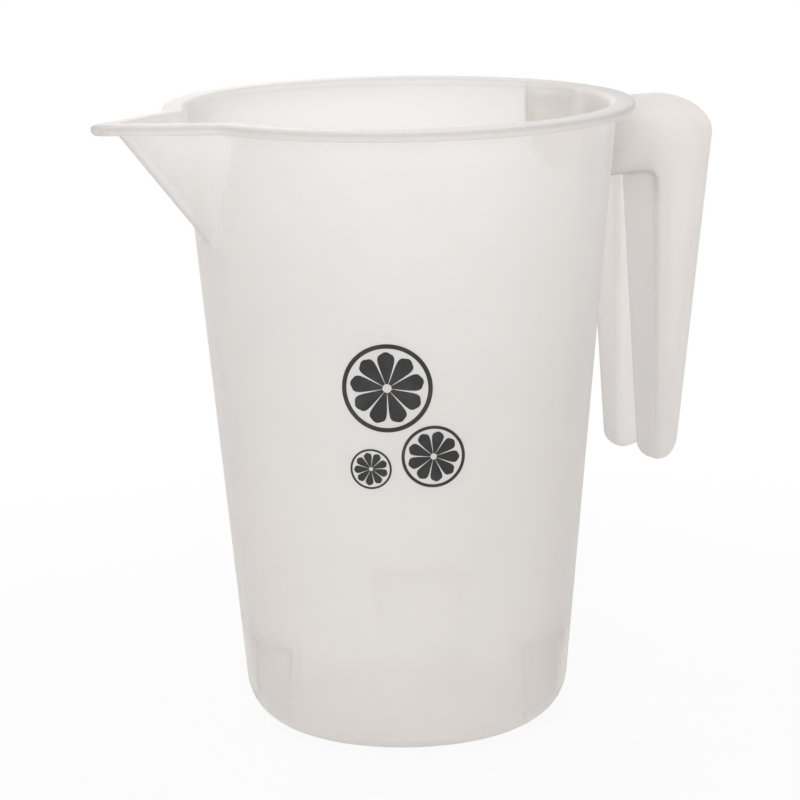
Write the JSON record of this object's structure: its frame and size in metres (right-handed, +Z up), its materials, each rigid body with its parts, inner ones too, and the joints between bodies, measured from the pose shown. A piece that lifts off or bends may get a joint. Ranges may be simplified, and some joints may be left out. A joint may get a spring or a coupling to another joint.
{
  "type": "pitcher",
  "caption": "Tapered translucent plastic pitcher with a turned-down rim, a V-shaped pouring spout, a hooked handle of open channel section and stepped shoulders above the heel.",
  "frame": {"origin": "on the table plane, midway between the tip of the spout and the back of the handle, on the plane of symmetry", "axes": "+Z up along the body axis, +X towards the handle, -X towards the spout, the plane of symmetry is XZ"},
  "size_m": [0.206, 0.14, 0.188],
  "materials": {
    "body": "translucent satin polypropylene",
    "spout": "translucent satin polypropylene",
    "handle": "translucent satin polypropylene",
    "print": "black screen-printing ink"
  },
  "bodies": {
    "root": {"floor": "body", "heel": "body", "body_wall": "body", "rim_flange": "body", "heel_shoulder_spout": "body", "heel_shoulder_left": "body", "heel_shoulder_right": "body", "spout_flanks": "spout", "spout_lip": "spout", "handle_hood": "handle", "hood_rib": "handle", "handle_grip": "handle", "handle_flange_left": "handle", "handle_flange_right": "handle"}
  },
  "joints": []
}
